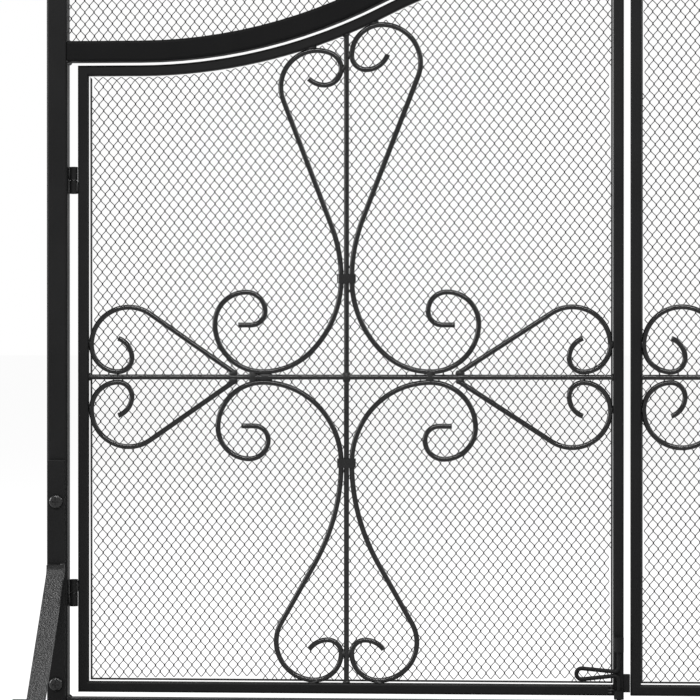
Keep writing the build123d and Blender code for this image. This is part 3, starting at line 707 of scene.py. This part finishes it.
def frame_bead_spots():
    """Beads on the left half of the frame."""
    plate_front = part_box("left_foot_plate")[0].y
    brace_low, brace_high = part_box("left_foot_brace")
    corner_x = brace_high.x - BRACE_CORNER_INSET
    corner = (corner_x, plate_front - BRACE_CORNER_FORWARD, brace_high.z)
    middle_x = (brace_low.x + brace_high.x) / 2
    brace_foot = (middle_x, brace_low.y + BRACE_FOOT_BACK, brace_low.z)
    plate_foot = (middle_x, plate_front - PLATE_FOOT_FORWARD, brace_low.z)
    spots = [
        (corner, BRACE_CORNER_BEAD, 0),
        (brace_foot, BRACE_FOOT_BEAD, 0),
        (plate_foot, PLATE_FOOT_BEAD, 0),
    ]
    arch_under = SHOULDER_Z + ARCH_GAP
    for z in (BOTTOM_RAIL_TOP, arch_under, arch_under + FRAME_TUBE):
        for y in (FRAME_FRONT + RAIL_END_INSET, FRAME_BACK - RAIL_END_INSET):
            spots.append(((-POST_INNER + RAIL_END_AWAY, y, z), RAIL_END_BEAD, 0))
    return spots


def weld(name, spots, body, unevenness, mirrored=False):
    """Make one piece of all the beads on a body's side."""
    bm = bmesh.new()
    for place, size, tilt in spots:
        bead(bm, place, size, tilt)
    lumpy(bm, unevenness)
    if mirrored:
        bmesh.ops.scale(bm, vec=(-1, 1, 1), verts=bm.verts)
        bmesh.ops.recalc_face_normals(bm, faces=bm.faces)
    for face in bm.faces:
        face.smooth = True
    piece = link_mesh(bm, name)
    finish(piece, bpy.data.materials["Coated weld"], body)


class FIRESCREEN_OT_welds(bpy.types.Operator):
    """Add the weld beads that hold rods, knuckles, guides and feet."""

    bl_idname = "firescreen.welds"
    bl_label = "Add the welds"

    def execute(self, context):
        look = context.scene.firescreen_finish
        uneven = context.scene.firescreen_sizes.weld_roughness
        coat_material(
            "Coated weld", look.coat_dark, look.coat_light, grain_scale=500.0,
            grain_depth=0.0002, gloss=(0.36, 0.5),
        )
        door = cross_bar_spots() + lower_lobe_spots() + upper_lobe_spots()
        door += hinge_bead_spots("door")
        weld("left_door_welds", door + latch_bead_spots(), "left_door", uneven)
        weld("right_door_welds", door, "right_door", uneven, mirrored=True)
        posts = hinge_bead_spots("post") + frame_bead_spots()
        weld("left_frame_welds", posts, "frame", uneven)
        weld("right_frame_welds", posts, "frame", uneven, mirrored=True)
        return {"FINISHED"}


# Stage

# What the world gives to every ray that isn't seen, and how white the floor looks
WORLD_LIGHT = 0.12
FLOOR_WHITE = 0.9
FLOOR_GLOW = 1.06
FLOOR_REACH = 60.0

# Soft lights: name, place, width and height, watts; all face the middle of the screen
LIGHT_AIM_Z = 0.4
SOFT_LIGHTS = (
    ("fill_softbox", (2.4, -2.4, 1.8), (1.4, 1.4), 12.0),
    ("top_softbox", (0.0, 0.05, 3.2), (2.0, 0.8), 125.0),
    ("key_strip", (-0.2, -2.6, 2.5), (3.0, 0.15), 145.0),
    ("side_softbox", (-2.6, -0.2, 0.9), (1.2, 1.2), 75.0),
    ("rim_softbox", (2.2, 1.3, 1.9), (1.0, 1.0), 60.0),
)

# Camera: its place and aim across and upwards, its distance, and its lens in millimetres
CAMERA_PLACE = (-0.14, 0.3698)
CAMERA_AWAY = 2.4126
CAMERA_AIM = (-0.2655, 0.3607)
CAMERA_LENS = 129.5
CAMERA_SENSOR = 36.0
CAMERA_SIGHT = 200.0


def seen_rays(nodes, links):
    """An output that is one for what is looked at, mirrored or seen through, else nought."""
    path = nodes.new("ShaderNodeLightPath")
    seen = path.outputs["Is Camera Ray"]
    for kind in ("Is Glossy Ray", "Is Transmission Ray"):
        larger = nodes.new("ShaderNodeMath")
        larger.operation = "MAXIMUM"
        links.new(seen, larger.inputs[0])
        links.new(path.outputs[kind], larger.inputs[1])
        seen = larger.outputs["Value"]
    return seen


def studio_world():
    """White to the camera and in reflections, and a plain soft light for the rest."""
    world = bpy.data.worlds.new("Studio")
    bpy.context.scene.world = world
    world.use_nodes = True
    nodes, links = world.node_tree.nodes, world.node_tree.links
    background = nodes["Background"]
    background.inputs["Color"].default_value = (1.0, 1.0, 1.0, 1.0)
    strength = nodes.new("ShaderNodeMapRange")
    strength.inputs["To Min"].default_value = WORLD_LIGHT
    strength.inputs["To Max"].default_value = 1.0
    links.new(seen_rays(nodes, links), strength.inputs["Value"])
    links.new(strength.outputs["Result"], background.inputs["Strength"])


def pale_floor():
    """A wide pale floor that keeps the shadow."""
    bm = bmesh.new()
    bmesh.ops.create_grid(bm, x_segments=1, y_segments=1, size=FLOOR_REACH)
    floor = link_mesh(bm, "studio_floor")
    material = bpy.data.materials.new("Pale floor")
    material.use_nodes = True
    nodes, links = material.node_tree.nodes, material.node_tree.links
    shader = nodes["Principled BSDF"]
    shader.inputs["Base Color"].default_value = (0.9, 0.9, 0.9, 1.0)
    shader.inputs["Roughness"].default_value = 0.9
    shader.inputs["Specular IOR Level"].default_value = 0.1
    glow = nodes.new("ShaderNodeEmission")
    glow.inputs["Color"].default_value = (1.0, 1.0, 1.0, 1.0)
    glow.inputs["Strength"].default_value = FLOOR_GLOW
    share = nodes.new("ShaderNodeMath")
    share.operation = "MULTIPLY"
    share.inputs[1].default_value = FLOOR_WHITE
    links.new(seen_rays(nodes, links), share.inputs[0])
    mix = nodes.new("ShaderNodeMixShader")
    links.new(share.outputs["Value"], mix.inputs["Fac"])
    links.new(shader.outputs["BSDF"], mix.inputs[1])
    links.new(glow.outputs["Emission"], mix.inputs[2])
    links.new(mix.outputs["Shader"], nodes["Material Output"].inputs["Surface"])
    floor.data.materials.append(material)


def soft_light(name, place, aim, size, power):
    """A softbox at a place, facing a point; size is its width and height."""
    light = bpy.data.lights.new(name, "AREA")
    light.shape = "RECTANGLE"
    light.size, light.size_y = size
    light.energy = power
    lamp = bpy.data.objects.new(name, light)
    lamp.location = place
    lamp.rotation_euler = (Vector(aim) - Vector(place)).to_track_quat("-Z", "Y").to_euler()
    bpy.context.scene.collection.objects.link(lamp)


class FIRESCREEN_OT_stage(bpy.types.Operator):
    """Set the floor, the soft lights and the camera."""

    bl_idname = "firescreen.stage"
    bl_label = "Set the stage"

    def execute(self, context):
        context.scene.view_settings.view_transform = "Standard"
        studio_world()
        pale_floor()
        middle = (0.0, FRAME_FRONT, LIGHT_AIM_Z)
        for name, place, size, power in SOFT_LIGHTS:
            soft_light(name, place, middle, size, power)
        lens = bpy.data.cameras.new("Photo camera")
        lens.sensor_width = CAMERA_SENSOR
        lens.lens = CAMERA_LENS
        lens.clip_end = CAMERA_SIGHT
        camera = bpy.data.objects.new("photo_camera", lens)
        place = Vector((CAMERA_PLACE[0], FRAME_FRONT - CAMERA_AWAY, CAMERA_PLACE[1]))
        aim = Vector((CAMERA_AIM[0], FRAME_FRONT, CAMERA_AIM[1]))
        camera.location = place
        camera.rotation_euler = (aim - place).to_track_quat("-Z", "Y").to_euler()
        context.scene.collection.objects.link(camera)
        context.scene.camera = camera
        return {"FINISHED"}


class FIRESCREEN_PT_panel(bpy.types.Panel):
    """Lists the steps that dress the fireplace screen."""

    bl_idname = "FIRESCREEN_PT_panel"
    bl_label = "Fire screen"
    bl_space_type = "VIEW_3D"
    bl_region_type = "UI"
    bl_category = "Fire screen"

    def draw(self, context):
        layout = self.layout
        for step in STEPS:
            layout.operator(step.bl_idname)
        for owner in (context.scene.firescreen_sizes, context.scene.firescreen_finish):
            box = layout.box()
            for field in owner.__annotations__:
                box.prop(owner, field)


STEPS = (FIRESCREEN_OT_coat, FIRESCREEN_OT_mesh, FIRESCREEN_OT_welds, FIRESCREEN_OT_stage)
CLASSES = (ScreenSizes, ScreenFinish, *STEPS, FIRESCREEN_PT_panel)


def register():
    for cls in CLASSES:
        bpy.utils.register_class(cls)
    bpy.types.Scene.firescreen_sizes = bpy.props.PointerProperty(type=ScreenSizes)
    bpy.types.Scene.firescreen_finish = bpy.props.PointerProperty(type=ScreenFinish)


def unregister():
    del bpy.types.Scene.firescreen_finish
    del bpy.types.Scene.firescreen_sizes
    for cls in reversed(CLASSES):
        bpy.utils.unregister_class(cls)


def main():
    register()
    bpy.ops.firescreen.coat()
    bpy.ops.firescreen.mesh()
    bpy.ops.firescreen.welds()
    bpy.ops.firescreen.stage()


if __name__ == "__main__":
    main()
